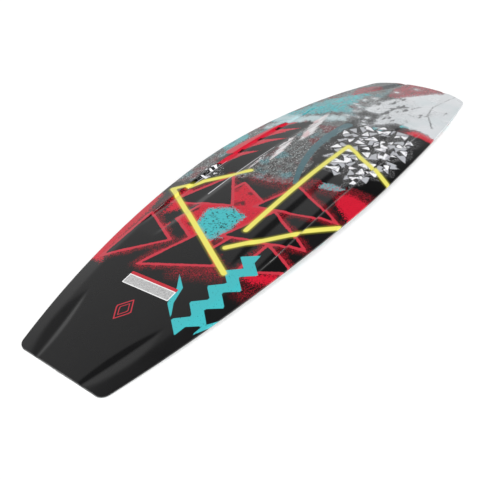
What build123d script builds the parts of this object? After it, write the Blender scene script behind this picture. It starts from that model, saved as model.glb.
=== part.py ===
"""A wakeboard lying base side up, built in layers as a moulded board is.

Millimetres. +X points to the nose, +Y to the left side and +Z out of the base. The origin is
on the ground under the middle of the board, which rests on its two upturned tips.
"""
import os
from math import cos, radians, sin

from build123d import *

os.makedirs("parts", exist_ok=True)

# Plan shape.
length = 1400.0
width = 420.0
tail_width = 212.0
nose_width = 254.0
nose_sagitta = 45.0
tail_corner_radius = 19.0
nose_corner_radius = 34.0
side_power = 1.69
tip_power = 4.0
tip_share = 0.164
half_length = length / 2
nose_corner_x = half_length - nose_sagitta

# Side shape: rocker of the base, and thickness from the middle to the tips.
rocker = 59.0
rocker_power = 1.68
mid_thickness = 18.0
tip_thickness = 8.5
taper_power = 1.2
total_height = rocker + tip_thickness

# Bevel of the base along each rail: it starts at a crease that draws in towards the tips,
# where it also flattens.
bevel_slope_mid = 0.22
bevel_slope_tip = 0.08
bevel_power = 1.5
crease_mid = 158.0
crease_tip = 78.0
crease_power = 2.6

# Long channel on each side of the base: a wall down to a wide shelf, then a step down to a
# narrow gutter, and a steep wall up to a lip beside the crease. Offsets are from the centre line.
shelf_depth = 3.0
gutter_depth = 5.0
wall_offset = 84.0
shelf_inner_offset = 98.0
shelf_outer_offset = 143.0
gutter_offset = 152.0
lip_offset = 156.5
channel_half_length = 360.0
channel_fade = 110.0

# V groove on each side of each tip.
groove_rise = 13.0
groove_fall = 11.2
groove_start_x = 540.0
groove_start_y = 97.0
groove_end_y = 57.0
groove_inner_slope = 0.35
groove_outer_slope = 0.14

# Layers. Neighbouring pieces are parted by the thickness of their glue.
sheet_thickness = 0.7
laminate_thickness = 0.8
glue = 0.05
skin_thickness = sheet_thickness + laminate_thickness + 2 * glue

# Core, stringers, rails and tip pieces.
stringer_centre = 46.0
stringer_width = 8.0
rail_width = 10.0
core_half_length = 640.0

# Binding inserts: two rows of six under each foot, on the usual six inch by one inch grid.
inch = 25.4
insert_pitch = inch
insert_count = 6
row_offset = 3 * inch
stance = 23 * inch
insert_body_radius = 4.5
insert_neck_radius = 3.8
insert_flange_radius = 6.5
insert_flange_height = 1.5
insert_neck_height = 2.0
insert_length = 7.6
insert_bore_radius = 2.5
insert_bore_depth = 6.4
insert_mouth_chamfer = 0.6
insert_recess = 0.35

# Blocks that hold the inserts.
block_length = 158.0
block_width = 32.0
block_height = 7.4
block_corner_radius = 6.0

# Label on the base.
label_length = 112.0
label_width = 33.0
label_thickness = 0.2
label_x = -472.8
label_turn = 3.3
label_corner_radius = 2.0

# Working sizes of the tool bodies, which reach past the board.
overrun = 30.0
tool_rise = 5.0
tool_half_length = half_length + overrun
tool_half_width = width / 2 + overrun
curve_steps = 14
feet = {"front": stance / 2, "rear": -stance / 2}
sides = {"left": 1, "right": -1}


def spread(low, high, steps):
    """Evenly spaced values from low to high, both included."""
    return [low + (high - low) * step / steps for step in range(steps + 1)]


def half_width(x):
    """Half the width of the plan outline at a distance x from the middle."""
    tip_half_width = (nose_width if x > 0 else tail_width) / 2
    reach = abs(x) / half_length
    fall = (1 - tip_share) * reach**side_power + tip_share * reach**tip_power
    return width / 2 - (width / 2 - tip_half_width) * fall


def base_height(x):
    """Height of the flat middle of the base."""
    return total_height - rocker * (abs(x) / half_length) ** rocker_power


def deck_height(x):
    """Height of the deck, which is flat across."""
    reach = abs(x) / half_length
    return base_height(x) - mid_thickness + (mid_thickness - tip_thickness) * reach**taper_power


def crease_offset(x):
    """Distance from the centre line to the crease where the rail bevel starts."""
    return crease_mid - (crease_mid - crease_tip) * (abs(x) / half_length) ** crease_power


def bevel_slope(x):
    """Slope of the rail bevel, falling outwards."""
    return bevel_slope_mid - (bevel_slope_mid - bevel_slope_tip) * (abs(x) / half_length) ** bevel_power


def channel_share(x):
    """Share of the channel's full depth, which ends above the base at each end."""
    fade = min((channel_half_length - abs(x)) / channel_fade, 1)
    return fade * (2 - fade)


def outline_prism(inset):
    """Tall prism on the plan outline, drawn in by inset all round."""
    side_x = spread(-half_length, nose_corner_x, curve_steps)
    left = [(x * (1 - inset / half_length), half_width(x) - inset) for x in side_x]
    right = [(x, -y) for x, y in reversed(left)]
    with BuildPart() as prism:
        with BuildSketch():
            with BuildLine():
                Spline(*left)
                ThreePointArc(left[-1], (half_length - inset, 0), right[0])
                Spline(*right)
                Line(right[-1], left[0])
            make_face()
            corners = vertices().group_by(Axis.X)
            fillet(corners[0], tail_corner_radius)
            fillet(vertices().group_by(Axis.X)[-1], nose_corner_radius)
        extrude(amount=total_height + overrun)
    return prism.part


def side_slab(height_at, far_height):
    """Slab between a rocker curve and a level face, wider and longer than the board."""
    curve = [(x, height_at(x)) for x in spread(-tool_half_length, tool_half_length, 2 * curve_steps)]
    far_corners = [(tool_half_length, far_height), (-tool_half_length, far_height)]
    with BuildPart() as slab:
        with BuildSketch(Plane.XZ):
            with BuildLine():
                Spline(*curve)
                Polyline(curve[-1], *far_corners, curve[0])
            make_face()
        extrude(amount=tool_half_width, both=True)
    return slab.part


def shifted(body, rise):
    """Copy of a body moved straight up by rise."""
    return body.moved(Location((0, 0, rise)))


# Tool: the wedge that planes the bevel along each rail.
with BuildPart() as rail_bevel_tool:
    for x in spread(-tool_half_length, tool_half_length, curve_steps):
        crease = crease_offset(x)
        inner = crease - tool_rise / bevel_slope(x)
        outer = tool_half_width + overrun
        top = base_height(x) + tool_rise
        outer_height = base_height(x) - bevel_slope(x) * (outer - crease)
        with BuildSketch(Plane.YZ.offset(x)):
            with BuildLine():
                Polyline(
                    (inner, top),
                    (outer, outer_height),
                    (outer, top + overrun),
                    (inner, top + overrun),
                    close=True,
                )
            make_face()
    loft()
    mirror(about=Plane.XZ)

# Tool: the long stepped trough of each channel.
wall_slope = shelf_depth / (shelf_inner_offset - wall_offset)
lip_slope = gutter_depth / (lip_offset - gutter_offset)
with BuildPart() as channel_tool:
    for x in spread(-channel_half_length - overrun, channel_half_length + overrun, curve_steps):
        base = base_height(x)
        top = base + tool_rise
        shelf = base - shelf_depth * channel_share(x)
        gutter = base - gutter_depth * channel_share(x)
        with BuildSketch(Plane.YZ.offset(x)):
            with BuildLine():
                Polyline(
                    (shelf_inner_offset - (top - shelf) / wall_slope, top),
                    (shelf_inner_offset, shelf),
                    (shelf_outer_offset, shelf),
                    (gutter_offset, gutter),
                    (gutter_offset + (top - gutter) / lip_slope, top),
                    close=True,
                )
            make_face()
    loft()
    mirror(about=Plane.XZ)

# Tool: the V cutter of each tip groove, which opens out through the end of the tip.
with BuildPart() as groove_tool:
    for x in spread(groove_start_x - overrun, tool_half_length, curve_steps // 2):
        run_out = (x - groove_start_x) / (half_length - groove_start_x)
        valley = groove_start_y - (groove_start_y - groove_end_y) * run_out
        floor = base_height(x) - run_out * (groove_rise - groove_fall * run_out)
        top = base_height(x) + tool_rise
        with BuildSketch(Plane.YZ.offset(x)):
            with BuildLine():
                Polyline(
                    (valley - (top - floor) / groove_inner_slope, top),
                    (valley, floor),
                    (valley + (top - floor) / groove_outer_slope, top),
                    close=True,
                )
            make_face()
    loft()
    mirror(about=Plane.XZ)
    mirror(about=Plane.YZ)

# Everything below the finished base surface, and everything above the deck surface.
with BuildPart() as under_base:
    add(side_slab(base_height, -overrun))
    add(rail_bevel_tool.part, mode=Mode.SUBTRACT)
    add(channel_tool.part, mode=Mode.SUBTRACT)
    add(groove_tool.part, mode=Mode.SUBTRACT)

over_deck = side_slab(deck_height, total_height + overrun)
board_outline = outline_prism(0)
inside_rail_outline = outline_prism(rail_width)
core_outline = outline_prism(rail_width + glue)

# What lies between the two skins.
with BuildPart() as filling:
    add(shifted(under_base.part, -skin_thickness))
    add(shifted(over_deck, skin_thickness), mode=Mode.INTERSECT)

# Base sheet and the laminate under it.
with BuildPart() as base_sheet:
    add(board_outline)
    add(under_base.part, mode=Mode.INTERSECT)
    add(shifted(under_base.part, -sheet_thickness), mode=Mode.SUBTRACT)
base_sheet.part.label = "base_sheet"
export_step(base_sheet.part, "parts/base_sheet.step")

with BuildPart() as base_laminate:
    add(board_outline)
    add(shifted(under_base.part, -sheet_thickness - glue), mode=Mode.INTERSECT)
    add(shifted(under_base.part, -sheet_thickness - glue - laminate_thickness), mode=Mode.SUBTRACT)
base_laminate.part.label = "base_laminate"
export_step(base_laminate.part, "parts/base_laminate.step")

# Label stuck to the base, following its curve.
label_plane = Plane(
    origin=(label_x, 0, 0),
    x_dir=(cos(radians(label_turn)), sin(radians(label_turn)), 0),
    z_dir=(0, 0, 1),
)
with BuildPart() as base_label:
    with BuildSketch(label_plane):
        RectangleRounded(label_width, label_length, label_corner_radius)
    extrude(amount=total_height + overrun)
    add(shifted(under_base.part, glue + label_thickness), mode=Mode.INTERSECT)
    add(shifted(under_base.part, glue), mode=Mode.SUBTRACT)
base_label.part.label = "base_label"
export_step(base_label.part, "parts/base_label.step")

# Side rails and tip pieces, all round the core.
for side, hand in sides.items():
    with BuildPart(Plane.XY) as rail:
        add(board_outline)
        add(inside_rail_outline, mode=Mode.SUBTRACT)
        with BuildSketch():
            Rectangle(2 * core_half_length, tool_half_width, align=(Align.CENTER, Align.MIN))
        extrude(amount=total_height + overrun, mode=Mode.INTERSECT)
        add(filling.part, mode=Mode.INTERSECT)
        if hand < 0:
            mirror(about=Plane.XZ, mode=Mode.REPLACE)
    rail.part.label = f"rail_{side}"
    export_step(rail.part, f"parts/rail_{side}.step")

for tip, end in (("nose", 1), ("tail", -1)):
    tip_plane = Plane(origin=(end * (core_half_length + glue), 0, 0), x_dir=(end, 0, 0), z_dir=(0, 0, 1))
    with BuildPart() as tip_spacer:
        with BuildSketch(tip_plane):
            Rectangle(tool_half_length, 2 * tool_half_width, align=(Align.MIN, Align.CENTER))
        extrude(amount=total_height + overrun)
        add(board_outline, mode=Mode.INTERSECT)
        add(filling.part, mode=Mode.INTERSECT)
    tip_spacer.part.label = f"{tip}_spacer"
    export_step(tip_spacer.part, f"parts/{tip}_spacer.step")

# Binding inserts: where they stand, and their shape grown by a gap.
insert_steps = spread(-(insert_count - 1) / 2, (insert_count - 1) / 2, insert_count - 1)


def insert_shape(gap):
    """Flanged, necked insert with its mouth on the ground and its axis on Z."""
    flange_foot = insert_length - insert_flange_height - gap
    neck_foot = insert_length - insert_flange_height - insert_neck_height
    with BuildPart() as shape:
        with BuildSketch(Plane.XZ):
            with BuildLine():
                Polyline(
                    (0, -gap),
                    (insert_body_radius + gap, -gap),
                    (insert_body_radius + gap, neck_foot + gap),
                    (insert_neck_radius + gap, neck_foot + gap),
                    (insert_neck_radius + gap, flange_foot),
                    (insert_flange_radius + gap, flange_foot),
                    (insert_flange_radius + gap, insert_length + gap),
                    (0, insert_length + gap),
                    close=True,
                )
            make_face()
        revolve(axis=Axis.Z)
    return shape.part


with BuildPart() as insert:
    add(insert_shape(0))
    with BuildSketch():
        Circle(insert_bore_radius)
    extrude(amount=insert_bore_depth, mode=Mode.SUBTRACT)
    mouth = edges().filter_by(GeomType.CIRCLE).group_by(Axis.Z)[0].sort_by(SortBy.RADIUS)[0]
    chamfer(mouth, insert_mouth_chamfer)

insert_pocket = insert_shape(glue)


def insert_places(foot_x, row_y):
    """Location of each insert's mouth in one row of one foot."""
    row_x = [foot_x + step * insert_pitch for step in insert_steps]
    return [Location((x, row_y, deck_height(x) + insert_recess)) for x in row_x]


# Blocks, their inserts, and the pockets and holes that they need in the layers around them.
with BuildPart() as block_pockets:
    for foot_x in feet.values():
        for hand in sides.values():
            with BuildSketch(Plane.XY.move(Location((foot_x, hand * row_offset, 0)))):
                RectangleRounded(
                    block_length + 2 * glue, block_width + 2 * glue, block_corner_radius + glue
                )
            extrude(amount=total_height)
    add(shifted(over_deck, skin_thickness + block_height + glue), mode=Mode.SUBTRACT)

for foot, foot_x in feet.items():
    for side, hand in sides.items():
        places = insert_places(foot_x, hand * row_offset)
        with BuildPart() as insert_block:
            with BuildSketch(Plane.XY.move(Location((foot_x, hand * row_offset, 0)))):
                RectangleRounded(block_length, block_width, block_corner_radius)
            extrude(amount=total_height)
            add(shifted(over_deck, skin_thickness), mode=Mode.INTERSECT)
            add(shifted(over_deck, skin_thickness + block_height), mode=Mode.SUBTRACT)
            for place in places:
                add(insert_pocket.moved(place), mode=Mode.SUBTRACT)
        insert_block.part.label = f"insert_block_{foot}_{side}"
        export_step(insert_block.part, f"parts/insert_block_{foot}_{side}.step")

        with BuildPart() as insert_row:
            for place in places:
                add(insert.part.moved(place))
        insert_row.part.label = f"binding_inserts_{foot}_{side}"
        export_step(insert_row.part, f"parts/binding_inserts_{foot}_{side}.step")

# Core and stringers.
stringer_inner = stringer_centre - stringer_width / 2
stringer_outer = stringer_centre + stringer_width / 2

with BuildPart() as core_centre:
    Box(2 * core_half_length, 2 * (stringer_inner - glue), 2 * tool_half_width)
    add(core_outline, mode=Mode.INTERSECT)
    add(filling.part, mode=Mode.INTERSECT)
core_centre.part.label = "core_centre"
export_step(core_centre.part, "parts/core_centre.step")

for side, hand in sides.items():
    strip_plane = Plane(origin=(0, hand * stringer_inner, 0), x_dir=(hand, 0, 0), z_dir=(0, 0, 1))
    with BuildPart() as stringer:
        with BuildSketch(strip_plane):
            Rectangle(2 * core_half_length, stringer_width, align=(Align.CENTER, Align.MIN))
        extrude(amount=total_height)
        add(filling.part, mode=Mode.INTERSECT)
    stringer.part.label = f"stringer_{side}"
    export_step(stringer.part, f"parts/stringer_{side}.step")

    core_plane = Plane(origin=(0, hand * (stringer_outer + glue), 0), x_dir=(hand, 0, 0), z_dir=(0, 0, 1))
    with BuildPart() as side_core:
        with BuildSketch(core_plane):
            Rectangle(2 * core_half_length, tool_half_width, align=(Align.CENTER, Align.MIN))
        extrude(amount=total_height)
        add(core_outline, mode=Mode.INTERSECT)
        add(filling.part, mode=Mode.INTERSECT)
        add(block_pockets.part, mode=Mode.SUBTRACT)
    side_core.part.label = f"core_{side}"
    export_step(side_core.part, f"parts/core_{side}.step")

# Top laminate and top sheet, drilled for the inserts.
with BuildPart() as insert_holes:
    for foot_x in feet.values():
        with Locations((foot_x, 0, 0)):
            with GridLocations(insert_pitch, 2 * row_offset, insert_count, 2):
                Cylinder(insert_body_radius + glue, 2 * total_height)

with BuildPart() as top_laminate:
    add(board_outline)
    add(shifted(over_deck, sheet_thickness + glue), mode=Mode.INTERSECT)
    add(shifted(over_deck, sheet_thickness + glue + laminate_thickness), mode=Mode.SUBTRACT)
    add(insert_holes.part, mode=Mode.SUBTRACT)
top_laminate.part.label = "top_laminate"
export_step(top_laminate.part, "parts/top_laminate.step")

with BuildPart() as top_sheet:
    add(board_outline)
    add(over_deck, mode=Mode.INTERSECT)
    add(shifted(over_deck, sheet_thickness), mode=Mode.SUBTRACT)
    add(insert_holes.part, mode=Mode.SUBTRACT)
top_sheet.part.label = "top_sheet"
export_step(top_sheet.part, "parts/top_sheet.step")
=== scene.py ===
"""Looks of the wakeboard: printed base, satin deck, rails, metal inserts, studio and camera."""

from math import cos, pi, radians, sin

import bpy
import numpy as np
from mathutils import Matrix, Vector
from mathutils.geometry import convex_hull_2d


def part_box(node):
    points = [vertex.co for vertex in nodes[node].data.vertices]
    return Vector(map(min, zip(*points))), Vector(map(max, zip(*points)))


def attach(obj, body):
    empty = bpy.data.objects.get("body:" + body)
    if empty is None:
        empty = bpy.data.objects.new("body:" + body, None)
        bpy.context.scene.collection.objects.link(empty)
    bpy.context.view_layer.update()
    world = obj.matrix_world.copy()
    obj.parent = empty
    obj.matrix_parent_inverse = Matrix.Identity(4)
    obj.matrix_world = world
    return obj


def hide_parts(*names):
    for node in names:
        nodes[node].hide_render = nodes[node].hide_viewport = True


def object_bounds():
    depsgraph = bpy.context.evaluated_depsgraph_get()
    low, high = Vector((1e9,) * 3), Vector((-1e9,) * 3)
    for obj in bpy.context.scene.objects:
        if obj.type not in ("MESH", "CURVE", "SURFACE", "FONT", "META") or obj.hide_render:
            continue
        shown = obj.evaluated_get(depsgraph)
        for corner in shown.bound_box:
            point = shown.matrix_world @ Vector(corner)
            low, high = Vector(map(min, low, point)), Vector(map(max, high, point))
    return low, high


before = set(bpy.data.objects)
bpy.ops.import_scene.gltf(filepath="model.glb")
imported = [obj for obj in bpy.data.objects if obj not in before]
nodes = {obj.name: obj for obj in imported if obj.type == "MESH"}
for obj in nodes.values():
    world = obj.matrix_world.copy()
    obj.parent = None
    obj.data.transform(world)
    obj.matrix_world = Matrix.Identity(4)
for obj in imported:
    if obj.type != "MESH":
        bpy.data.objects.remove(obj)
cad_low, cad_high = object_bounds()
MM = 0.001

# ---------------------------------------------------------------- sizes taken from the frame
_, sheet_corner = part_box("base_sheet")
HALF = sheet_corner.x
TOP = sheet_corner.z

# Shape of the base and the deck, the same as in the CAD layers. Metres, and slopes as rise over run.
ROCKER, ROCKER_POWER = 59 * MM, 1.68
MID_THICKNESS, TIP_THICKNESS, TAPER_POWER = 18 * MM, 8.5 * MM, 1.2
BEVEL_MID, BEVEL_TIP, BEVEL_POWER = 0.22, 0.08, 1.5
CREASE_MID, CREASE_TIP, CREASE_POWER = 158 * MM, 78 * MM, 2.6
CHANNEL_HALF, CHANNEL_FADE = 360 * MM, 110 * MM
SHELF, GUTTER = 3 * MM, 5 * MM
WALL_AT, SHELF_IN, SHELF_OUT, GUTTER_AT, LIP_AT = 84 * MM, 98 * MM, 143 * MM, 152 * MM, 156.5 * MM
GROOVE_START, GROOVE_OUT, GROOVE_IN = 540 * MM, 97 * MM, 57 * MM
GROOVE_RISE, GROOVE_FALL = 13 * MM, 11.2 * MM
GROOVE_INNER, GROOVE_OUTER = 0.35, 0.14
ROUNDING = 0.35 * MM

# The printed sheet: its thickness, its roll over the rail, and the share of the rail's side that it covers.
SHEET = 0.7 * MM
ROLL = 0.75 * MM
WRAP = 0.6

# Spacing of the points that carry the print, and the length of the closer rows at each tip.
GRID_X = 4.8 * MM
GRID_Y = 2.9 * MM
MERGE = 0.05 * MM
NOSE_ROUND, TAIL_ROUND, TIP_ROWS = 48 * MM, 20 * MM, 25


def soft_min(a, b):
    """The lower of two heights, with the crease between them rounded."""
    return 0.5 * (a + b - np.sqrt((a - b) ** 2 + ROUNDING**2))


def soft_max(a, b):
    """The higher of two heights, with the crease between them rounded."""
    return 0.5 * (a + b + np.sqrt((a - b) ** 2 + ROUNDING**2))


def flat_height(x):
    """Height of the flat middle of the base."""
    return TOP - ROCKER * (np.abs(x) / HALF) ** ROCKER_POWER


def deck_height(x):
    """Height of the deck, which is flat across."""
    reach = np.abs(x) / HALF
    return flat_height(x) - MID_THICKNESS + (MID_THICKNESS - TIP_THICKNESS) * reach**TAPER_POWER


def base_surface(x, y):
    """Height of the base at points x, y: rocker, rail bevels, channels and tip grooves."""
    reach = np.abs(x) / HALF
    side = np.abs(y)
    flat = flat_height(x)
    slope = BEVEL_MID - (BEVEL_MID - BEVEL_TIP) * reach**BEVEL_POWER
    crease = CREASE_MID - (CREASE_MID - CREASE_TIP) * reach**CREASE_POWER
    height = soft_min(flat, flat - slope * (side - crease))

    share = np.minimum((CHANNEL_HALF - np.abs(x)) / CHANNEL_FADE, 1)
    share = np.where(share > -0.5, share * (2 - share), -1.5)
    wall = -SHELF * share + SHELF / (SHELF_IN - WALL_AT) * (SHELF_IN - side)
    floor = -share * np.interp(side, [SHELF_OUT, GUTTER_AT], [SHELF, GUTTER])
    lip = -GUTTER * share + GUTTER / (LIP_AT - GUTTER_AT) * (side - GUTTER_AT)
    height = soft_min(height, flat + soft_max(soft_max(wall, floor), lip))

    run = (np.abs(x) - GROOVE_START) / (HALF - GROOVE_START)
    valley = GROOVE_OUT - (GROOVE_OUT - GROOVE_IN) * run
    depth = run * (GROOVE_RISE - GROOVE_FALL * run)
    depth = np.where(run > -0.3, depth, -0.3 * (GROOVE_RISE + GROOVE_FALL * 0.3))
    sides = soft_max(GROOVE_INNER * (valley - side), GROOVE_OUTER * (side - valley))
    return soft_min(height, flat - depth + sides)


def outline_half_width(x):
    """Half width of the board at each x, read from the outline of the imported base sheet."""
    points = [v.co.xy for v in nodes["base_sheet"].data.vertices]
    hull = [points[i] for i in convex_hull_2d(points)]
    left = sorted((p.x, p.y) for p in hull if p.y > 0)
    return np.interp(x, [p[0] for p in left], [p[1] for p in left])


def stations():
    """Places along the board for the rows of the base grid, closer together round the tips."""
    body = np.arange(-HALF + TAIL_ROUND, HALF - NOSE_ROUND, GRID_X)
    steps = np.linspace(1, 0, TIP_ROWS + 1)
    return np.concatenate([-HALF + TAIL_ROUND * (1 - steps[:-1]) ** 2, body, HALF - NOSE_ROUND * steps**2])


def columns(widest):
    """Places across the board for the columns of the grid, some of them exactly on the channel edges."""
    edges = [WALL_AT, SHELF_IN, SHELF_OUT, GUTTER_AT, LIP_AT]
    even = np.arange(GRID_Y, widest + GRID_Y, GRID_Y)
    clear = [y for y in even if min(abs(y - edge) for edge in edges) > 0.4 * GRID_Y]
    one_side = np.sort(np.array(clear + edges))
    return np.concatenate([-one_side[::-1], [0], one_side])


def grid_faces(index):
    """Faces between the rows and columns of point numbers, without those that have shrunk to a line."""
    quads = np.stack([index[:-1, :-1], index[1:, :-1], index[1:, 1:], index[:-1, 1:]], -1).reshape(-1, 4)
    rings = [[p for k, p in enumerate(quad) if p != quad[k - 1]] for quad in quads.tolist()]
    return [ring for ring in rings if len(set(ring)) == len(ring) and len(ring) > 2]


def base_shape():
    """The printed sheet: points and faces of the base, rolled over the rails and down their sides.

    Also gives the place on the print, x and y, that each point shows."""
    x = stations()
    half = outline_half_width(x)
    grid_x = np.repeat(x[:, None], len(columns(half.max())), 1)
    grid_y = np.clip(columns(half.max())[None, :], -half[:, None], half[:, None])
    points = np.stack([grid_x, grid_y, base_surface(grid_x, grid_y)], -1).reshape(-1, 3)
    keys = np.round(points[:, :2] / MERGE).astype(np.int64)
    _, first, same = np.unique(keys, axis=0, return_index=True, return_inverse=True)
    points = points[first]
    index = same.reshape(grid_x.shape)
    faces = grid_faces(index)

    border = np.concatenate([index[0], index[:, -1], index[-1, ::-1], index[::-1, 0]])
    border = border[border != np.roll(border, 1)]
    edge = points[border]
    along = np.roll(edge, -1, 0) - np.roll(edge, 1, 0)
    outward = np.stack([-along[:, 1], along[:, 0]], 1) / np.hypot(along[:, 0], along[:, 1])[:, None]
    side = WRAP * (edge[:, 2] - deck_height(edge[:, 0]))
    drops = [(ROLL * sin(t), ROLL * (1 - cos(t)) * np.ones(len(edge))) for t in np.radians((30, 60, 90))]
    drops += [(ROLL, side * share) for share in (0.5, 1)]
    shown = [points[:, :2]]
    ring = border
    for out, down in drops:
        new_ring = np.arange(len(border)) + sum(len(part) for part in shown)
        faces += np.stack([ring, np.roll(ring, -1), np.roll(new_ring, -1), new_ring], 1).tolist()
        points = np.vstack([points, np.column_stack([edge[:, :2] + outward * out, edge[:, 2] - down])])
        shown.append(edge[:, :2] + outward * (out + down[:, None]))
        ring = new_ring
    shown = np.vstack(shown)
    return points, faces, shown[:, 0], shown[:, 1]


# ---------------------------------------------------------------- drawing on the base

class Canvas:
    """The print of the base, in millimetres: x from the middle to the nose, y to the left.

    A shape is the distance from every place to the shape's edge, below 0 inside it."""

    def __init__(self, x, y):
        self.x = x / MM
        self.y = y / MM

    def reach(self, a, b):
        """Distance to the line from a to b, and how far along it the nearest point lies, 0 to 1."""
        step_x, step_y = b[0] - a[0], b[1] - a[1]
        along = (self.x - a[0]) * step_x + (self.y - a[1]) * step_y
        along = np.clip(along / (step_x**2 + step_y**2), 0, 1)
        return np.hypot(self.x - a[0] - along * step_x, self.y - a[1] - along * step_y), along

    def polygon(self, corners):
        """A filled polygon."""
        distance = np.full(self.x.shape, 1000.0)
        inside = np.zeros(self.x.shape, bool)
        for a, b in zip(corners, corners[1:] + corners[:1]):
            distance = np.minimum(distance, self.reach(a, b)[0])
            if a[1] != b[1]:
                crossing = (b[0] - a[0]) * (self.y - a[1]) / (b[1] - a[1]) + a[0]
                inside ^= ((a[1] > self.y) != (b[1] > self.y)) & (self.x < crossing)
        return np.where(inside, -distance, distance)

    def stroke(self, points, start_width, end_width):
        """A line through the points whose width goes from one end's to the other's."""
        distance = np.full(self.x.shape, 1000.0)
        count = len(points) - 1
        for k in range(count):
            gap, along = self.reach(points[k], points[k + 1])
            width = start_width + (end_width - start_width) * (k + along) / count
            distance = np.minimum(distance, gap - width / 2)
        return distance

    def dab(self, root, heading, length, width):
        """A brush mark that swells from a point and runs out to a point."""
        way = length * np.array([cos(radians(heading)), sin(radians(heading))])
        points = [np.array(root) + share * way for share in (0, 0.4, 1)]
        return union(self.stroke(points[:2], 0.1 * width, width), self.stroke(points[1:], width, 0.1 * width))

    def zigzag(self, start, end, swing, turns, width):
        """A sharp bolt that swings from side to side and is pointed at both ends."""
        start, way = np.array(start), np.array(end) - np.array(start)
        across = np.array([-way[1], way[0]]) / np.hypot(*way)
        sides = [0, *[swing * (-1) ** k for k in range(turns)], 0]
        spine = [start + way * k / (turns + 1) + across * side for k, side in enumerate(sides)]
        upper = [tuple(point + across * width / 2) for point in spine[1:-1]]
        lower = [tuple(point - across * width / 2) for point in spine[1:-1]]
        return self.polygon([tuple(spine[0]), *upper, tuple(spine[-1]), *lower[::-1]])

    def chip(self, middle, heading, size):
        """A flat three-cornered chip, a little longer than wide."""
        x, y = middle
        c, s = cos(radians(heading)), sin(radians(heading))
        corners = [(0.9 * size, 0), (-0.5 * size, 0.55 * size), (-0.4 * size, -0.45 * size)]
        return self.polygon([(x + a * c - b * s, y + a * s + b * c) for a, b in corners])

    def scatter(self, area, gap, sizes, seed):
        """Chips strewn over a polygon about a gap apart, each turned its own way."""
        dice = np.random.default_rng(seed)
        (low_x, low_y), (high_x, high_y) = np.min(area, 0), np.max(area, 0)
        chips = []
        for x in np.arange(low_x, high_x, gap):
            for y in np.arange(low_y, high_y, gap):
                middle = np.array((x, y)) + dice.uniform(-gap / 2, gap / 2, 2)
                heading, size = dice.uniform(0, 360), dice.uniform(*sizes)
                if Canvas(middle[:1] * MM, middle[1:] * MM).polygon(area)[0] < 0:
                    chips.append(self.chip(middle, heading, size))
        return union(*chips)

    def spots(self, *places):
        """Round drops, each given by its x, y and diameter."""
        return union(*[np.hypot(self.x - x, self.y - y) - across / 2 for x, y, across in places])


def union(*shapes):
    """Several shapes together."""
    return np.minimum.reduce(shapes)


SHARDS = [
    [(-460, 150), (-352, 58), (-300, 158)],
    [(-440, 66), (-366, -74), (-306, 20)],
    [(-250, 150), (-196, 20), (-96, 96)],
    [(-290, -24), (-236, -190), (-168, -70)],
    [(-176, -20), (-128, -196), (-64, -60)],
    [(-366, -116), (-300, -206), (-262, -120)],
]
RED_PANEL = [(-352, -28), (-290, 96), (-112, 52), (-174, -72)]
NEON_LINES = [
    [(-375, -100), (-208, 182)],
    [(-208, 182), (-180, 150), (-150, 138), (-62, 72)],
    [(-315, -55), (-135, -206)],
    [(-250, -57), (165, -50)],
    [(165, -50), (60, -212)],
]


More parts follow.
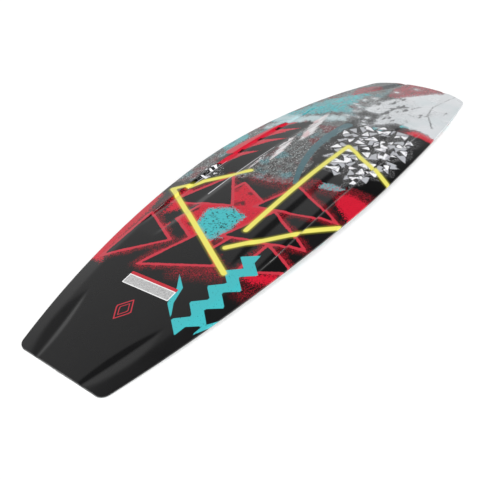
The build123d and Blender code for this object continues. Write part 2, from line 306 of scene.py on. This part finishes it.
def draw_inks(canvas):
    """Every ink of the base print, by name."""
    polygon, stroke = canvas.polygon, canvas.stroke
    inks = {}

    # Mottled ground from the shards to the nose.
    inks["grunge"] = polygon([
        (-196, 240), (-150, 130), (-90, 60), (-82, 10), (-60, -40), (20, -30), (120, 0), (240, 20), (420, 40),
        (720, 60), (720, 240)])

    # Teal: the nose half on the left, small patches round the flames, and one behind the shards.
    inks["teal_field"] = polygon([
        (190, 240), (205, 130), (262, 150), (306, 132), (350, 76), (366, 58), (400, 84), (480, 90), (520, 96),
        (500, 120), (440, 150), (380, 172), (300, 186), (250, 215)])
    inks["teal"] = union(
        polygon([(-42, -98), (-36, -134), (-14, -146), (18, -132), (2, -112), (-18, -92)]),
        polygon([(-40, 146), (-12, 186), (8, 206), (-2, 174), (-22, 146)]),
        polygon([(8, 186), (80, 186), (120, 230), (10, 230)]),
        polygon([(84, 100), (92, 118), (112, 116), (118, 98)]),
        polygon([(148, 96), (176, 122), (206, 116), (214, 98)]),
        polygon([(282, -36), (306, -44), (312, -62), (292, -70)]),
        polygon([(346, -96), (380, -84), (420, -98), (400, -126), (360, -130)]))
    inks["teal_patch"] = polygon([(-322, -4), (-292, 44), (-232, 58), (-200, 18), (-212, -26), (-290, -30)])

    # Red: haze along the left rail, patches between the shards, and a corner at the right rail.
    inks["red"] = union(
        polygon([(-470, 134), (-450, 150), (-380, 160), (-300, 170), (-236, 188), (-200, 240), (-480, 240)]),
        polygon([(-290, 134), (-200, 154), (-180, 128), (-172, 96), (-256, 112)]),
        polygon([(-400, 108), (-366, 118), (-310, 98), (-345, 92), (-372, 78)]),
        polygon([(-78, -160), (-48, -150), (-30, -168), (-30, -240), (-122, -240), (-106, -206)]),
        polygon([(-372, -130), (-352, -146), (-322, -184), (-340, -200), (-366, -160)]),
        polygon([(312, -150), (322, -124), (344, -134), (348, -200), (314, -200)]))

    # Thin red dust: under the label's end of the shards, round the panel, and at the black block.
    inks["dust"] = union(
        stroke([(-420, -20), (-396, -60), (-380, -88)], 24, 40),
        stroke([(-395, -160), (-340, -176), (-300, -196)], 26, 18),
        stroke([(-300, 150), (-200, 150)], 10, 16),
        stroke([(-84, 40), (-70, -20), (-30, -90), (-20, -190)], 26, 56),
        stroke([(300, -130), (330, -120), (350, -180)], 20, 16))

    # Red at the nose and in the rail corner beside it.
    inks["nose_red"] = union(
        polygon([(540, 40), (560, -70), (620, -140), (660, -150), (720, -80), (720, 20), (690, 56),
                 (620, 60)]),
        polygon([(480, 124), (560, 96), (600, 88), (612, 100), (604, 128), (560, 150)]))
    inks["nose_corner"] = polygon([(594, 84), (640, 70), (670, 66), (680, 120), (600, 130), (612, 108)])

    # Pale: the splash at the nose with loose drops beside it, and the light wash between it and the teal.
    inks["pale"] = union(
        polygon([(336, -220), (720, -220), (720, -92), (590, -14), (470, 40), (400, 36), (394, -20),
                 (318, -34), (366, -74)]),
        canvas.spots((378, 52, 12), (352, 4, 8), (410, 58, 7), (340, 26, 6), (500, 62, 9), (306, -12, 7),
                     (594, 40, 6), (334, 50, 5), (424, 76, 8), (662, 10, 6), (322, -4, 5), (470, 76, 7)))
    inks["wash"] = union(
        stroke([(226, 190), (240, 150), (270, 110), (306, 60)], 44, 34),
        stroke([(150, 178), (200, 168), (232, 140)], 18, 30))

    # Dry-brush dabs along the left channel, larger towards the nose.
    inks["sweep"] = union(*[canvas.dab((-60 + 62 * k, 82 - 18 * (k % 2)), 8, 110 + 6 * k, 10 + 4 * k)
                            for k in range(5)])

    # Greys laid over the pale splash.
    inks["shade"] = union(
        polygon([(306, -30), (350, -86), (420, -84), (470, -70), (530, -66), (560, -20), (540, 48), (470, 44),
                 (410, 16), (390, -10)]),
        stroke([(430, -96), (520, -140)], 26, 12))
    inks["lines"] = stroke([(392, -160), (470, -112), (540, -96), (676, -104)], 3.5, 1.5)

    # Solid black: lower middle, and the block along the right rail.
    inks["black"] = union(
        polygon([(-20, -62), (20, -38), (140, -14), (236, 4), (258, -2), (276, -60), (300, -110), (312, -150),
                 (312, -230), (10, -230), (-10, -150)]),
        polygon([(-206, 122), (-166, 90), (-60, 88), (60, 86), (238, 96), (246, 114), (206, 136), (180, 160),
                 (60, 170), (-60, 170), (-160, 164)]))

    # Painted highlights: thin pale lines along two edges of the left channel, where those edges catch the
    # light.
    inks["painted_edge_highlight"] = union(
        stroke([(-192, LIP_AT / MM - 6), (-50, LIP_AT / MM - 6)], 2.6, 1.6),
        stroke([(-186, SHELF_IN / MM - 2), (66, SHELF_IN / MM - 2)], 2.6, 1.6))

    # Curved grey-green band.
    inks["band"] = stroke([(x, 20 - 64 * ((x - 210) / 264) ** 2) for x in range(-54, 290, 22)], 12, 24)

    # Shards: near-black triangles with a red edge, strewn over a slanted red panel.
    inks["panel"] = polygon(RED_PANEL)
    inks["shards"] = union(*[polygon(corners) for corners in SHARDS])

    # White and grey chips strewn over the black, and a few near the left rail.
    strewn = [(0, -180), (40, -56), (250, 6), (330, -40), (300, -150), (150, -190)]
    inks["chips_behind"] = canvas.scatter(strewn, 30, (14, 28), 4)
    inks["chips"] = union(canvas.scatter(strewn, 31, (13, 29), 11),
                          canvas.scatter([(-160, 140), (-130, 172), (-80, 164), (-90, 136)], 16, (6, 14), 2))
    inks["chalk_dust"] = union(stroke([(190, -150), (286, -168)], 40, 24),
                               stroke([(250, -70), (300, -120)], 50, 30))

    # Red along the left rail: a bright strip, and licks of uneven length that lean far to the nose.
    inks["flame_block"] = stroke([(-10, 168), (170, 158)], 30, 8)
    licks = ((-88, 20), (-60, 44), (-4, 28), (20, 58), (74, 34), (96, 52), (150, 24))
    inks["flames"] = union(*[polygon([(x, 160), (x + 50, 155), (x + 50 + tall, 155 - tall)])
                             for x, tall in licks])

    inks["bolts"] = union(canvas.zigzag((-540, -122), (-296, -128), 14, 9, 34),
                          canvas.zigzag((-524, -146), (-446, -178), 3, 2, 9),
                          canvas.zigzag((-420, -28), (-514, -90), 6, 2, 11))
    inks["neon"] = union(*[stroke(line, 11.5, 11.5) for line in NEON_LINES])

    # Small mark near the tail, drawn as two nested lines round a rhombus.
    inks["mark"] = polygon([(-570, 0), (-542, 19), (-514, 0), (-542, -19)])
    return inks


def add_piece(name, mesh, replaces):
    """Puts a mesh into the scene as a piece that rides on the board and stands for a CAD node."""
    piece = bpy.data.objects.new(name, mesh)
    bpy.context.scene.collection.objects.link(piece)
    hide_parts(replaces)
    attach(piece, "root")
    return piece


points, faces, print_x, print_y = base_shape()
base_mesh = bpy.data.meshes.new("base_print")
base_mesh.from_pydata(points.tolist(), [], faces)
base_mesh.shade_smooth()
for ink, distance in draw_inks(Canvas(print_x, print_y)).items():
    base_mesh.attributes.new(ink, "FLOAT", "POINT").data.foreach_set("value", distance.astype(np.float32))
base_print = add_piece("base_print", base_mesh, "base_sheet")
thickness = base_print.modifiers.new("sheet", "SOLIDIFY")
thickness.thickness = SHEET
thickness.offset = -1

# ---------------------------------------------------------------- materials

class Look:
    """A node material: a Principled shader and small helpers that wire nodes into it."""

    def __init__(self, name):
        self.material = bpy.data.materials.new(name)
        self.material.use_nodes = True
        self.tree = self.material.node_tree
        self.shader = self.tree.nodes["Principled BSDF"]
        self.place = self.add("ShaderNodeTexCoord").outputs["Object"]

    def add(self, kind, **settings):
        """A new node with its settings."""
        node = self.tree.nodes.new(kind)
        for key, value in settings.items():
            setattr(node, key, value)
        return node

    def wire(self, value, socket):
        """Feeds a socket from another socket, a number or a colour."""
        if isinstance(value, bpy.types.NodeSocket):
            self.tree.links.new(value, socket)
        elif isinstance(value, tuple):
            socket.default_value = (*value, 1) if len(socket.default_value) == 4 else value
        else:
            socket.default_value = value

    def set(self, **inputs):
        """Feeds inputs of the shader, named with underscores for spaces."""
        for name, value in inputs.items():
            self.wire(value, self.shader.inputs[name.replace("_", " ")])

    def math(self, operation, a, b=0.0):
        node = self.add("ShaderNodeMath", operation=operation)
        self.wire(a, node.inputs[0])
        self.wire(b, node.inputs[1])
        return node.outputs[0]

    def stretched(self, scale, turn=0.0):
        """Object coordinates, stretched along X, Y and Z and turned about Z."""
        node = self.add("ShaderNodeMapping")
        self.wire(self.place, node.inputs["Vector"])
        node.inputs["Scale"].default_value = scale
        node.inputs["Rotation"].default_value = (0, 0, radians(turn))
        return node.outputs[0]

    def axes(self, where=None):
        """The X, Y and Z of a place."""
        node = self.add("ShaderNodeSeparateXYZ")
        self.wire(where or self.place, node.inputs[0])
        return node.outputs[0], node.outputs[1], node.outputs[2]

    def noise(self, scale, detail=2.0, where=None, roughness=0.5):
        node = self.add("ShaderNodeTexNoise")
        self.wire(where or self.place, node.inputs["Vector"])
        node.inputs["Scale"].default_value = scale
        node.inputs["Detail"].default_value = detail
        node.inputs["Roughness"].default_value = roughness
        return node.outputs[0]

    def cells(self, scale, where=None):
        node = self.add("ShaderNodeTexVoronoi")
        self.wire(where or self.place, node.inputs["Vector"])
        node.inputs["Scale"].default_value = scale
        return node.outputs["Distance"]

    def ramp(self, value, low, high, to_low=0.0, to_high=1.0):
        """Value mapped from low..high to to_low..to_high, held at the ends."""
        node = self.add("ShaderNodeMapRange")
        self.wire(value, node.inputs["Value"])
        for socket, number in zip(list(node.inputs)[1:5], (low, high, to_low, to_high)):
            socket.default_value = number
        return node.outputs[0]

    def between(self, value, low, high, feather):
        """1 where the value lies from low to high, 0 outside."""
        above = self.ramp(value, low - feather, low + feather)
        return self.math("MULTIPLY", above, self.ramp(value, high - feather, high + feather, 1, 0))

    def inside(self, ink, ragged=0.0, noise=None, feather=0.5, beyond=0.0):
        """1 inside an ink's shape, or that far beyond it, and 0 outside. Millimetres.

        A noise makes the edge ragged."""
        field = self.add("ShaderNodeAttribute", attribute_name=ink).outputs["Fac"]
        if noise is not None:
            field = self.math("ADD", field, self.ramp(noise, 0.2, 0.8, -ragged, ragged))
        return self.ramp(field, beyond - feather, beyond + feather, 1, 0)

    def edge(self, ink, width, offset=0.0, ragged=0.0, noise=None):
        """1 on a line of a given width along an ink's edge, or that far inside it. Millimetres."""
        field = self.add("ShaderNodeAttribute", attribute_name=ink).outputs["Fac"]
        field = self.math("ABSOLUTE", self.math("ADD", field, offset))
        if noise is not None:
            field = self.math("ADD", field, self.ramp(noise, 0.2, 0.8, -ragged, ragged))
        return self.ramp(field, width / 2 - 0.4, width / 2 + 0.4, 1, 0)

    def paint(self, under, colour, amount):
        """One colour laid over another by an amount from 0 to 1."""
        node = self.add("ShaderNodeMix", data_type="RGBA")
        self.wire(amount, node.inputs[0])
        self.wire(under, node.inputs[6])
        self.wire(colour, node.inputs[7])
        return node.outputs[2]

    def bump(self, height, distance, strength=1.0):
        """Relief from a height of 0 to 1, with the distance in metres."""
        node = self.add("ShaderNodeBump")
        node.inputs["Strength"].default_value = strength
        node.inputs["Distance"].default_value = distance
        self.wire(height, node.inputs["Height"])
        self.set(Normal=node.outputs[0])


CHARCOAL = (0.0055, 0.0055, 0.0058)
BLACK = (0.0015, 0.0015, 0.0017)
RED = (0.55, 0.010, 0.030)
SOFT_RED = (0.48, 0.032, 0.052)
DEEP_RED = (0.10, 0.005, 0.010)
TEAL = (0.050, 0.42, 0.45)
NEON = (0.72, 0.67, 0.13)
NEON_GLOW = (0.62, 0.60, 0.05)
PALE = (0.62, 0.64, 0.66)
CHALK = (0.82, 0.82, 0.84)
GREY = (0.10, 0.105, 0.11)
SLATE = (0.05, 0.06, 0.065)
BAND = (0.065, 0.15, 0.175)


def ground_ink(look, blend, streaks):
    """Charcoal at the tail, mottled browns, greys and greens towards the nose."""
    colour = look.paint(CHARCOAL, (0.0075, 0.0075, 0.0078), look.noise(40, 3))
    mottled = look.paint((0.035, 0.025, 0.025), (0.17, 0.20, 0.20), look.ramp(streaks, 0.40, 0.66))
    mottled = look.paint(mottled, (0.08, 0.19, 0.21), look.ramp(look.noise(22, 3), 0.50, 0.60))
    mottled = look.paint(mottled, (0.12, 0.015, 0.02), look.ramp(look.noise(15, 4), 0.55, 0.63))
    stipple = look.noise(300, 2, roughness=0.7)
    mottled = look.paint(mottled, (0.52, 0.53, 0.53), look.ramp(stipple, 0.59, 0.63))
    mottled = look.paint(mottled, BLACK, look.ramp(look.noise(250, 3, roughness=0.7), 0.56, 0.60))
    return look.paint(colour, mottled, look.inside("grunge", 22, blend, 3))


def colour_fields(look, colour, blend, fine, spray, streaks):
    """Teal and red fields, sprayed at their edges, and the dark and muted reds of the nose."""
    teal = look.paint(TEAL, (0.10, 0.28, 0.32), look.ramp(streaks, 0.46, 0.60))
    smears = look.noise(1, 4, look.stretched((60, 200, 60), 12))
    teal = look.paint(teal, (0.22, 0.30, 0.32), look.ramp(smears, 0.52, 0.66))
    teal = look.paint(teal, SLATE, look.ramp(look.noise(250, 3, roughness=0.7), 0.58, 0.62))
    colour = look.paint(colour, teal, look.inside("teal_field", 36, blend, 2))
    colour = look.paint(colour, teal, look.inside("teal", 14, blend, 1))
    colour = look.paint(colour, SLATE, look.inside("nose_corner", 30, fine, 3))
    dust = look.math("MULTIPLY", look.ramp(spray, 0.545, 0.575), look.inside("dust", 12, blend, 16))
    colour = look.paint(colour, RED, dust)
    red = look.paint(RED, DEEP_RED, look.ramp(spray, 0.60, 0.63))
    colour = look.paint(colour, red, look.inside("red", 16, fine, 2))
    muted = look.paint((0.34, 0.018, 0.038), (0.12, 0.012, 0.018), look.ramp(streaks, 0.46, 0.60))
    muted = look.paint(muted, BLACK, look.ramp(look.noise(210, 3, roughness=0.7), 0.56, 0.60))
    return look.paint(colour, muted, look.inside("nose_red", 14, fine, 1.5))


def pale_splash(look, colour, blend, fine, spray, streaks):
    """The pale splash with its grey stipple and lines, the light wash beside it and the sweep."""
    wash = look.paint((0.42, 0.60, 0.63), (0.60, 0.68, 0.70), streaks)
    colour = look.paint(colour, wash, look.math("MULTIPLY", look.inside("wash", 26, blend, 8), 0.8))
    colour = look.paint(colour, (0.46, 0.49, 0.51), look.inside("pale", 44, spray, 1))
    pale = look.paint(PALE, (0.52, 0.58, 0.60), look.ramp(look.noise(12, 3), 0.45, 0.7))
    blots = look.ramp(look.noise(1, 4, look.stretched((22, 52, 40), 28), roughness=0.6), 0.54, 0.60)
    pale = look.paint(pale, GREY, look.math("MULTIPLY", blots, look.inside("shade", 24, blend, 5)))
    dots = look.math("MULTIPLY", look.ramp(spray, 0.56, 0.6), look.inside("shade", 40, blend, 14))
    pale = look.paint(pale, SLATE, look.math("MULTIPLY", dots, 0.8))
    pale = look.paint(pale, GREY, look.inside("lines", 5, fine, 0.8))
    colour = look.paint(colour, pale, look.inside("pale", 20, blend, 0.8))
    hairs = look.noise(1, 4, look.stretched((16, 420, 60)), roughness=0.7)
    sweep = look.paint((0.70, 0.68, 0.69), (0.62, 0.46, 0.47), look.ramp(look.noise(35, 3), 0.52, 0.66))
    combed = look.math("MULTIPLY", look.inside("sweep", 9, hairs, 2), look.ramp(hairs, 0.34, 0.42))
    return look.paint(colour, sweep, combed)


def base_print_look():
    """Glossy printed sheet: inks laid over each other from the ground colour up."""
    look = Look("base_print")
    coarse = look.noise(55, 3)
    fine = look.noise(330, 3, roughness=0.7)
    spray = look.noise(600, 2, roughness=0.8)
    streaks = look.noise(1, 5, look.stretched((34, 150, 60), 28), roughness=0.7)
    blend = look.math("ADD", look.math("MULTIPLY", fine, 0.5), look.math("MULTIPLY", coarse, 0.5))

    colour = ground_ink(look, blend, streaks)
    colour = colour_fields(look, colour, blend, fine, spray, streaks)
    colour = pale_splash(look, colour, blend, fine, spray, streaks)
    colour = look.paint(colour, BLACK, look.inside("black", 16, blend, 1))
    colour = look.paint(colour, look.paint(BAND, (0.04, 0.09, 0.105), coarse), look.inside("band", 2, fine))

    panel = look.paint(RED, DEEP_RED, look.ramp(look.noise(20, 4), 0.54, 0.60))
    panel = look.paint(panel, BLACK, look.ramp(spray, 0.585, 0.60))
    specks = look.math("ADD", look.noise(170, 5, roughness=0.8), look.ramp(coarse, 0.35, 0.65, -0.03, 0.03))
    specked = look.paint(TEAL, BLACK, look.ramp(specks, 0.56, 0.575))
    panel = look.paint(panel, specked, look.inside("teal_patch", 14, fine))
    colour = look.paint(colour, panel, look.inside("panel", 2, fine))
    colour = look.paint(colour, SOFT_RED, look.edge("panel", 7, 0, 2.2, blend))
    haze = look.math("MULTIPLY", look.ramp(spray, 0.50, 0.56), look.inside("shards", 14, blend, 8, 9))
    colour = look.paint(colour, RED, haze)
    colour = look.paint(colour, CHARCOAL, look.inside("shards"))
    colour = look.paint(colour, SOFT_RED, look.edge("shards", 6.5, 0, 2.2, blend))

    chalk = look.paint(CHALK, (0.40, 0.40, 0.44), look.ramp(look.noise(90, 3), 0.52, 0.6))
    specks = look.math("MULTIPLY", look.inside("chips", beyond=14), look.ramp(spray, 0.62, 0.64))
    colour = look.paint(colour, CHALK, specks)
    flecks = look.math("MULTIPLY", look.inside("chalk_dust", 10, blend, 8), look.ramp(spray, 0.625, 0.645))
    colour = look.paint(colour, CHALK, flecks)
    colour = look.paint(colour, (0.42, 0.43, 0.46), look.inside("chips_behind", 1.6, fine))
    colour = look.paint(colour, BLACK, look.inside("chips", 1.6, fine, 0.5, 2.5))
    colour = look.paint(colour, chalk, look.inside("chips", 1.6, fine))
    flames = look.paint(SOFT_RED, RED, look.ramp(coarse, 0.40, 0.6))
    colour = look.paint(colour, BLACK, look.inside("flames", -6, fine, 3))
    colour = look.paint(colour, flames, look.inside("flames", 2.5, fine))
    colour = look.paint(colour, RED, look.inside("flame_block", 2.5, fine))
    speckled_teal = look.paint(TEAL, BLACK, look.ramp(fine, 0.66, 0.67))
    colour = look.paint(colour, speckled_teal, look.inside("bolts", beyond=0.3))

    # Painted highlights along the left channel's edges, laid in chalk over the print.
    colour = look.paint(colour, CHALK, look.math("MULTIPLY", look.inside("painted_edge_highlight"), 0.8))

    glow = look.math("MULTIPLY", look.inside("neon", feather=6), 0.5)
    colour = look.paint(colour, NEON_GLOW, glow)
    colour = look.paint(colour, NEON, look.inside("neon", feather=1.0))
    colour = look.paint(colour, SOFT_RED, look.edge("mark", 2.2, 1))
    colour = look.paint(colour, SOFT_RED, look.edge("mark", 1.6, 7))

    look.set(Base_Color=colour, Specular_IOR_Level=0.30)
    look.set(Roughness=look.ramp(look.noise(9, 3), 0.3, 0.7, 0.24, 0.32))
    look.bump(look.noise(70, 2), 0.00005)
    return look.material


def label_look():
    """Plain sticker: a pale border round a light grey panel, and a red stripe along its nose side."""
    length, width, stripe, border, turn = 112 * MM, 33 * MM, 7.5 * MM, 2 * MM, 3.3
    low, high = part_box("base_label")
    look = Look("label_film")
    place = look.add("ShaderNodeMapping", vector_type="TEXTURE")
    look.wire(look.place, place.inputs["Vector"])
    place.inputs["Location"].default_value = (low + high) / 2
    place.inputs["Rotation"].default_value = (0, 0, radians(turn))
    across, along, _ = look.axes(place.outputs[0])
    panel = look.math("MULTIPLY",
                      look.between(across, -width / 2 + border, width / 2 - stripe - border, 0.1 * MM),
                      look.between(along, -length / 2 + border, length / 2 - border, 0.1 * MM))
    mottle = look.ramp(look.noise(380, 3, roughness=0.8), 0.35, 0.65)
    grey = look.paint((0.26, 0.26, 0.26), (0.56, 0.56, 0.56), mottle)
    colour = look.paint((0.80, 0.80, 0.80), grey, panel)
    red = look.paint((0.50, 0.015, 0.03), (0.40, 0.02, 0.03), look.noise(120, 3))
    colour = look.paint(colour, red, look.ramp(across, width / 2 - stripe, width / 2 - stripe + 0.1 * MM))
    look.set(Base_Color=colour, Roughness=look.ramp(look.noise(60, 2), 0.3, 0.7, 0.35, 0.5))
    look.bump(look.noise(900, 2), 0.00002)
    return look.material


def deck_look():
    """Satin deck: pale grey with a charcoal middle, sprayed edges and a few red and teal streaks."""
    look = Look("top_print")
    x, y, _ = look.axes()
    spray = look.noise(420, 3, roughness=0.8)
    clouds = look.noise(14, 4)
    pale = look.paint((0.50, 0.51, 0.52), (0.40, 0.41, 0.42), look.ramp(clouds, 0.4, 0.65))
    middle = look.math("ADD", look.math("ABSOLUTE", y), look.ramp(clouds, 0.2, 0.8, -0.05, 0.05))
    middle = look.math("ADD", middle, look.ramp(spray, 0.2, 0.8, -0.02, 0.02))
    middle = look.math("ADD", middle, look.ramp(look.math("ABSOLUTE", x), 0.3 * HALF, HALF, 0, 0.11))
    colour = look.paint(pale, CHARCOAL, look.ramp(middle, 0.118, 0.122, 1, 0))
    slant = look.math("ADD", x, look.math("MULTIPLY", y, 0.8))
    for centre, half_width, ink in ((-0.36, 0.016, TEAL), (-0.325, 0.006, RED), (0.33, 0.006, RED),
                                    (0.37, 0.018, TEAL)):
        offset = look.math("ABSOLUTE", look.math("SUBTRACT", slant, centre))
        offset = look.math("ADD", offset, look.ramp(spray, 0.2, 0.8, -0.009, 0.009))
        colour = look.paint(colour, ink, look.ramp(offset, half_width - 0.001, half_width + 0.001, 1, 0))
    look.set(Base_Color=colour, Roughness=look.ramp(look.noise(30, 3), 0.3, 0.7, 0.42, 0.55))
    look.bump(look.noise(800, 2), 0.00004)
    return look.material


def laminate_look():
    """Glass-fibre laminate: pale resin with a fine crossing weave."""
    look = Look("glass_laminate")
    x, y, _ = look.axes()
    threads = 2500
    weave = look.math("MULTIPLY", look.math("SINE", look.math("MULTIPLY", x, threads)),
                      look.math("SINE", look.math("MULTIPLY", y, threads)))
    colour = look.paint((0.50, 0.51, 0.49), (0.62, 0.62, 0.60), look.ramp(weave, -1, 1))
    colour = look.paint(colour, (0.42, 0.43, 0.42), look.ramp(look.noise(25, 3), 0.5, 0.7))
    look.set(Base_Color=colour, Roughness=0.4)
    look.bump(weave, 0.00005)
    return look.material


def rail_look():
    """Moulded plastic of the rails and tip pieces: pale grey with a fine grain."""
    look = Look("rail_plastic")
    grain = look.noise(900, 2, roughness=0.7)
    colour = look.paint((0.42, 0.42, 0.43), (0.50, 0.50, 0.51), look.noise(60, 3))
    look.set(Base_Color=colour, Roughness=look.ramp(grain, 0.3, 0.7, 0.35, 0.5))
    look.bump(grain, 0.00005)
    return look.material


def foam_look():
    """Closed-cell core foam: cream, with small cells."""
    look = Look("foam")
    cells = look.cells(450)
    colour = look.paint((0.58, 0.50, 0.34), (0.68, 0.61, 0.45), look.noise(30, 3))
    colour = look.paint(colour, (0.45, 0.38, 0.25), look.ramp(cells, 0.35, 0.6))
    look.set(Base_Color=colour, Roughness=0.9)
    look.bump(cells, 0.0003)
    return look.material


def wood_look():
    """Wooden stringer: long grain along the board."""
    look = Look("stringer_wood")
    grain = look.noise(1, 5, look.stretched((6, 260, 260)), roughness=0.6)
    colour = look.paint((0.36, 0.22, 0.11), (0.55, 0.38, 0.21), look.ramp(grain, 0.35, 0.65))
    look.set(Base_Color=colour, Roughness=look.ramp(grain, 0.3, 0.7, 0.5, 0.7))
    look.bump(grain, 0.0001)
    return look.material


def block_look():
    """Dense plastic of the insert blocks: dark grey with a cut, streaky face."""
    look = Look("block_plastic")
    streaks = look.noise(1, 3, look.stretched((30, 500, 500)))
    colour = look.paint((0.05, 0.05, 0.055), (0.09, 0.09, 0.095), look.ramp(streaks, 0.35, 0.65))
    look.set(Base_Color=colour, Roughness=look.ramp(streaks, 0.3, 0.7, 0.4, 0.6))
    look.bump(streaks, 0.0001)
    return look.material


def steel_look():
    """Stainless inserts: bright turned metal with faint scratches."""
    look = Look("insert_metal")
    scratches = look.noise(1, 3, look.stretched((2400, 300, 2400), 30))
    colour = look.paint((0.55, 0.55, 0.54), (0.68, 0.67, 0.65), scratches)
    look.set(Base_Color=colour, Metallic=1.0, Roughness=look.ramp(scratches, 0.3, 0.7, 0.22, 0.4))
    look.bump(scratches, 0.00002)
    return look.material


def give(look, *starts):
    """Gives one material to every CAD node whose name begins in one of these ways."""
    for name, node in nodes.items():
        if name.startswith(starts):
            node.data.materials.clear()
            node.data.materials.append(look)


base_mesh.materials.append(base_print_look())
give(label_look(), "base_label")
give(deck_look(), "top_sheet")
give(laminate_look(), "base_laminate", "top_laminate")
give(rail_look(), "rail_", "nose_spacer", "tail_spacer")
give(foam_look(), "core_")
give(wood_look(), "stringer_")
give(block_look(), "insert_block_")
give(steel_look(), "binding_inserts_")

# ---------------------------------------------------------------- studio
# What gloss mirrors, from level on the left (1) over straight up (0): place and brightness.
SCREENS = ((0.27, 0.02), (0.36, 0.72), (0.52, 0.78), (0.78, 1.5), (0.96, 0.5))
FILL = 0.25


def soft_sun(name, towards, strength, softness):
    """Even light from one direction, as wide as the softness in degrees."""
    data = bpy.data.lights.new(name, "SUN")
    data.energy = strength
    data.angle = radians(softness)
    light = bpy.data.objects.new(name, data)
    light.rotation_euler = Vector(towards).to_track_quat("Z", "Y").to_euler()
    light.visible_glossy = False
    bpy.context.scene.collection.objects.link(light)


def studio_world():
    """Plain white all round. Gloss mirrors screens that are light on the left and dark on the right."""
    world = bpy.data.worlds.new("studio")
    world.use_nodes = True
    tree = world.node_tree
    kinds = ("TexCoord", "SeparateXYZ", "Math", "MapRange", "ValToRGB", "LightPath", "Mix", "Mix")
    made = [tree.nodes.new("ShaderNode" + kind) for kind in kinds]
    place, axes, angle, quarter, screens, rays, gloss, seen = made
    tree.links.new(place.outputs["Generated"], axes.inputs[0])
    angle.operation = "ARCTAN2"
    tree.links.new(axes.outputs[1], angle.inputs[0])
    tree.links.new(axes.outputs[2], angle.inputs[1])
    tree.links.new(angle.outputs[0], quarter.inputs["Value"])
    quarter.inputs[2].default_value = pi / 2
    tree.links.new(quarter.outputs[0], screens.inputs[0])
    stops = screens.color_ramp.elements
    stops.remove(stops[1])
    stops[0].position = SCREENS[0][0]
    for where, _ in SCREENS[1:]:
        stops.new(where)
    for stop, (_, light) in zip(stops, SCREENS):
        stop.color = (light, light, light, 1)
    tree.links.new(rays.outputs["Is Glossy Ray"], gloss.inputs[0])
    gloss.inputs[2].default_value = FILL
    tree.links.new(screens.outputs[0], gloss.inputs[3])
    tree.links.new(rays.outputs["Is Camera Ray"], seen.inputs[0])
    tree.links.new(gloss.outputs[0], seen.inputs[2])
    seen.inputs[3].default_value = 1
    tree.nodes["Background"].inputs["Color"].default_value = (1, 1, 1, 1)
    tree.links.new(seen.outputs[0], tree.nodes["Background"].inputs["Strength"])
    bpy.context.scene.world = world


def pale_floor():
    """Plain pale floor under the board."""
    side = 12 * (cad_high.x - cad_low.x)
    mesh = bpy.data.meshes.new("floor")
    corners = [(x, y, cad_low.z) for x, y in ((-side, -side), (side, -side), (side, side), (-side, side))]
    mesh.from_pydata(corners, [], [(0, 1, 2, 3)])
    look = Look("pale_floor")
    look.set(Base_Color=look.paint((0.95, 0.95, 0.95), (0.96, 0.96, 0.96), look.noise(3, 2)), Roughness=0.9)
    mesh.materials.append(look.material)
    floor = bpy.data.objects.new("floor", mesh)
    bpy.context.scene.collection.objects.link(floor)


def camera_at(place, right, back, lens):
    """Camera at a place, given the directions of its right-hand side and of its back."""
    data = bpy.data.cameras.new("camera")
    data.lens = lens
    data.sensor_width = 36
    camera = bpy.data.objects.new("camera", data)
    up = Vector(back).cross(Vector(right))
    axes = Matrix((right, up, back)).transposed()
    camera.matrix_world = Matrix.Translation(place) @ axes.to_4x4()
    bpy.context.scene.collection.objects.link(camera)
    bpy.context.scene.camera = camera


# The camera stands off the tail's right-hand corner and looks along the board, a little rolled.
CAMERA_PLACE = (-1.1268, -0.7697, TOP + 0.7611)
CAMERA_RIGHT, CAMERA_BACK = (0.6124, -0.7891, -0.0486), (-0.6287, -0.5233, 0.5752)
CAMERA_LENS = 51
# The sun stands behind the camera, so that its shadow falls behind the board.
SUN_TOWARDS, SUN_STRENGTH, SUN_SOFTNESS = (-0.63, -0.52, 0.62), 4.6, 30

pale_floor()
studio_world()
soft_sun("key", SUN_TOWARDS, SUN_STRENGTH, SUN_SOFTNESS)
camera_at(CAMERA_PLACE, CAMERA_RIGHT, CAMERA_BACK, CAMERA_LENS)
bpy.context.scene.view_settings.view_transform = "Standard"
